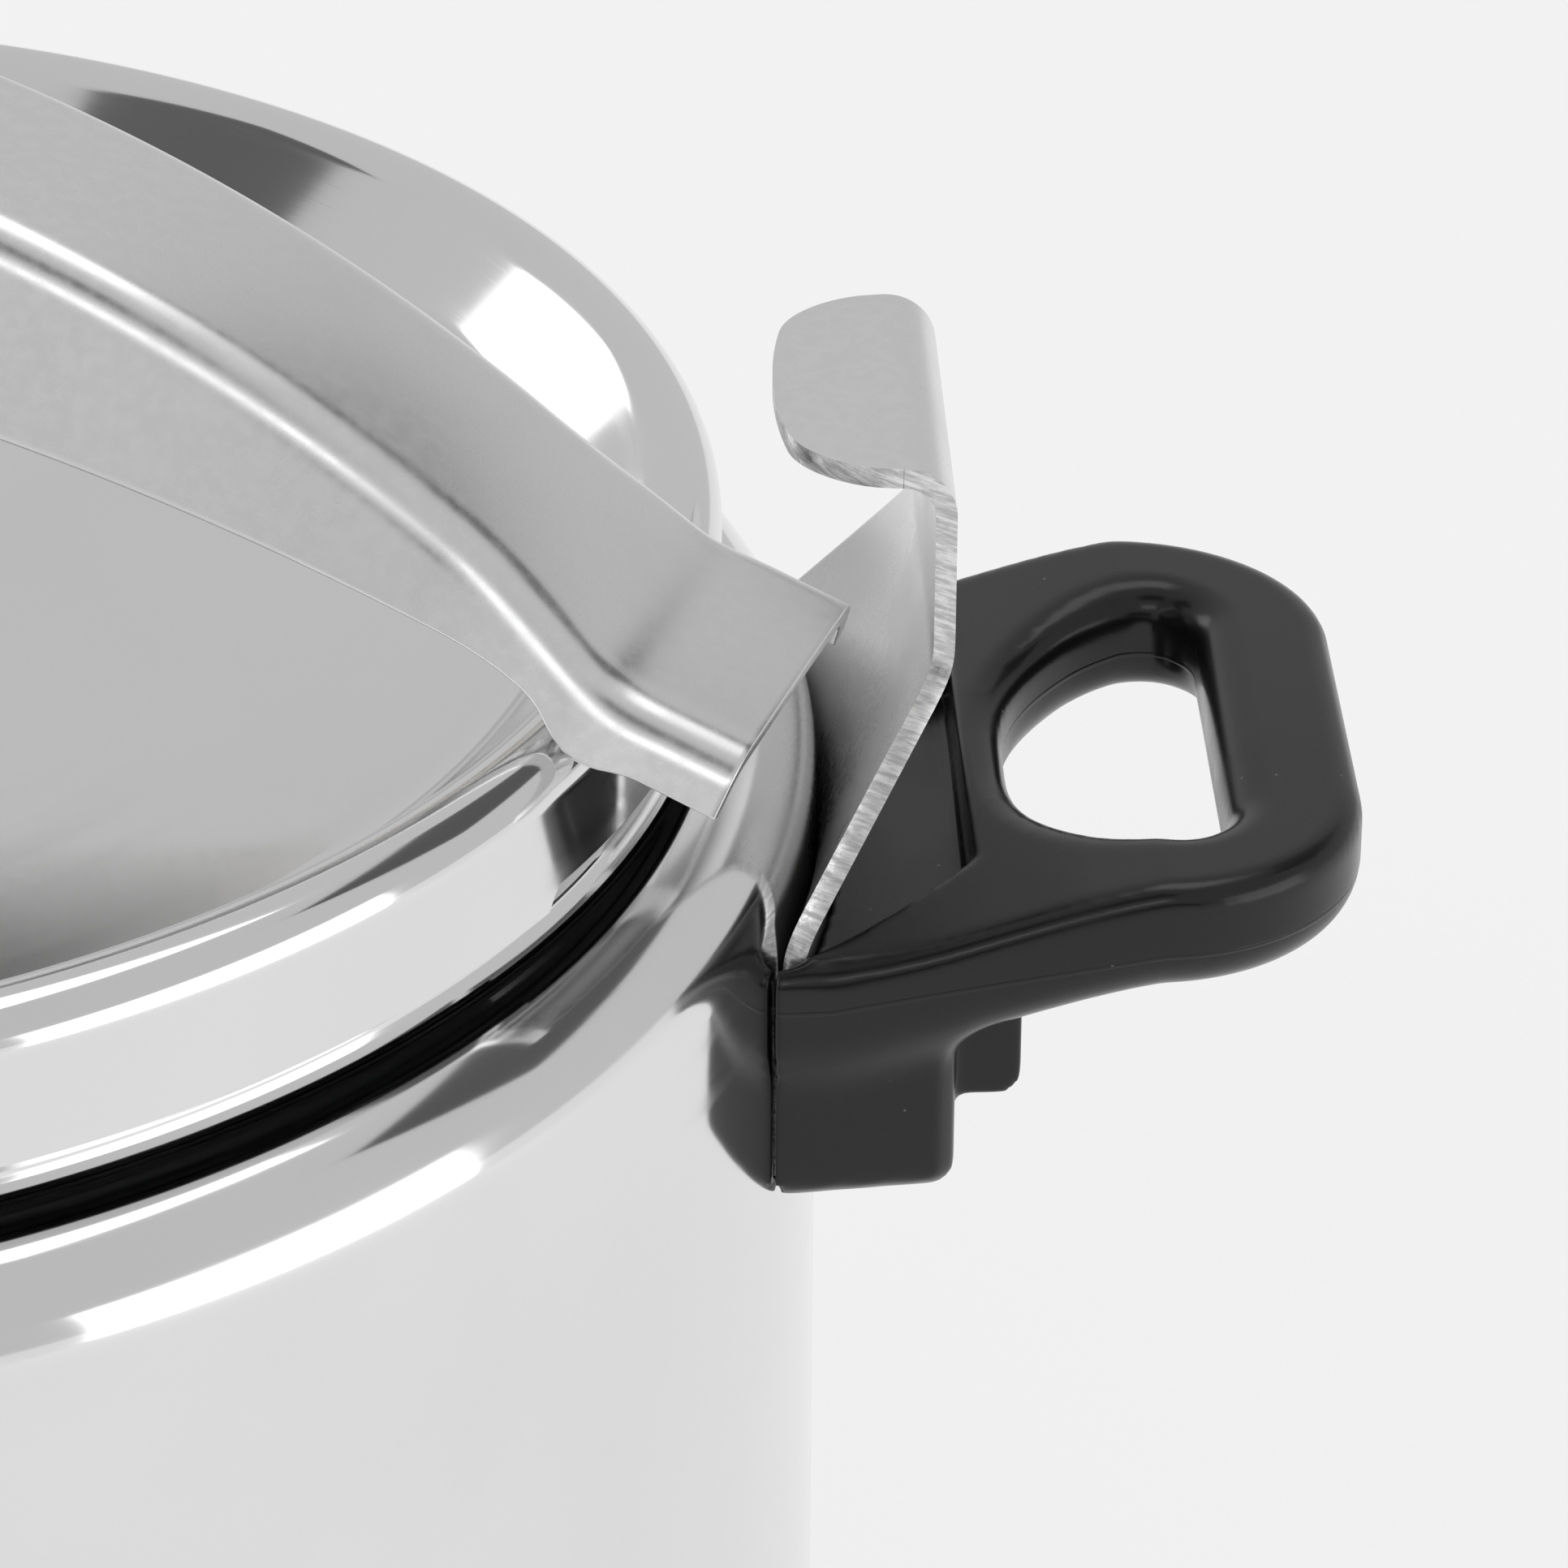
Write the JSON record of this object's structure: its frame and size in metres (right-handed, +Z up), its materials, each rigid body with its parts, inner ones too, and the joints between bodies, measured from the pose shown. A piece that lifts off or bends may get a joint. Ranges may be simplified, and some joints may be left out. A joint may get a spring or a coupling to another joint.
{
  "type": "stovetop pressure cooker",
  "caption": "Round polished steel pressure cooker closed by an arched clamp bar that a screw pulls up under hook brackets, with black side handles.",
  "frame": {"origin": "centre of the base on the surface it stands on", "axes": "+Z up, +X through the side handles and hook brackets, +Y across them"},
  "size_m": [0.344, 0.242, 0.2773],
  "materials": {
    "polished_steel": "mirror polished with fine circumferential lines",
    "satin_steel": "satin, sheared edges left bare",
    "steel_fixings": "plain turned",
    "aluminium": "satin",
    "black_phenolic": "moulded, semi-gloss",
    "seal_rubber": "matt",
    "brass": "turned"
  },
  "bodies": {
    "pot": {"pot_body": "polished_steel", "heat_spreader": "aluminium", "base_cap": "polished_steel", "weld_bosses": "steel_fixings", "hook_bracket_right": "satin_steel", "hook_bracket_left": "satin_steel", "side_handle_right": "black_phenolic", "side_handle_left": "black_phenolic", "handle_screws": "steel_fixings"},
    "lid": {"lid_shell": "polished_steel", "lid_seal": "seal_rubber", "lid_boss": "polished_steel", "valve_nozzle": "brass", "valve_nut": "brass", "valve_washer": "seal_rubber", "safety_housing": "brass", "safety_nut": "brass", "safety_washer": "seal_rubber", "safety_cap": "brass", "safety_spring": "steel_fixings"},
    "pad": {"pressure_pad": "satin_steel", "pad_clip": "steel_fixings"},
    "screw": {"spindle": "steel_fixings", "clamp_knob": "black_phenolic", "knob_insert": "steel_fixings", "knob_pin": "steel_fixings", "knob_cap": "aluminium"},
    "bar": {"clamp_bar": "satin_steel", "bar_bush": "steel_fixings", "bush_rivets": "steel_fixings"},
    "weight": {"valve_weight": "steel_fixings", "weight_cap": "black_phenolic"},
    "plunger": {"safety_plunger": "steel_fixings"}
  },
  "joints": [
    {"name": "lid_lift", "type": "slide", "parent": "pot", "child": "lid", "axis": [0, 0, 1], "range_m": [0, 0.12]},
    {"name": "bar_swing", "type": "hinge", "parent": "lid", "child": "pad", "pos_m": [0, 0, 0.19], "axis": [0, 0, 1], "range_deg": [-35, 20]},
    {"name": "knob_turn", "type": "hinge", "parent": "pad", "child": "screw", "pos_m": [0, 0, 0.26], "axis": [0, 0, -1], "range_deg": [-80, 162]},
    {"name": "bar_rise", "type": "slide", "parent": "pad", "child": "bar", "axis": [0, 0, 1], "range_m": [-0.0009, 0.00181]},
    {"name": "weight_lift", "type": "slide", "parent": "lid", "child": "weight", "axis": [0, 0, 1], "range_m": [0, 0.004]},
    {"name": "plunger_lift", "type": "slide", "parent": "lid", "child": "plunger", "axis": [0, 0, 1], "range_m": [0, 0.003], "stiffness_N_per_m": 900, "springref_m": -0.004, "deforming": ["safety_spring"]}
  ],
  "couplings": [
    {"joint": "bar_rise", "follows": "knob_turn", "m_per_rad": 0.00063662}
  ]
}
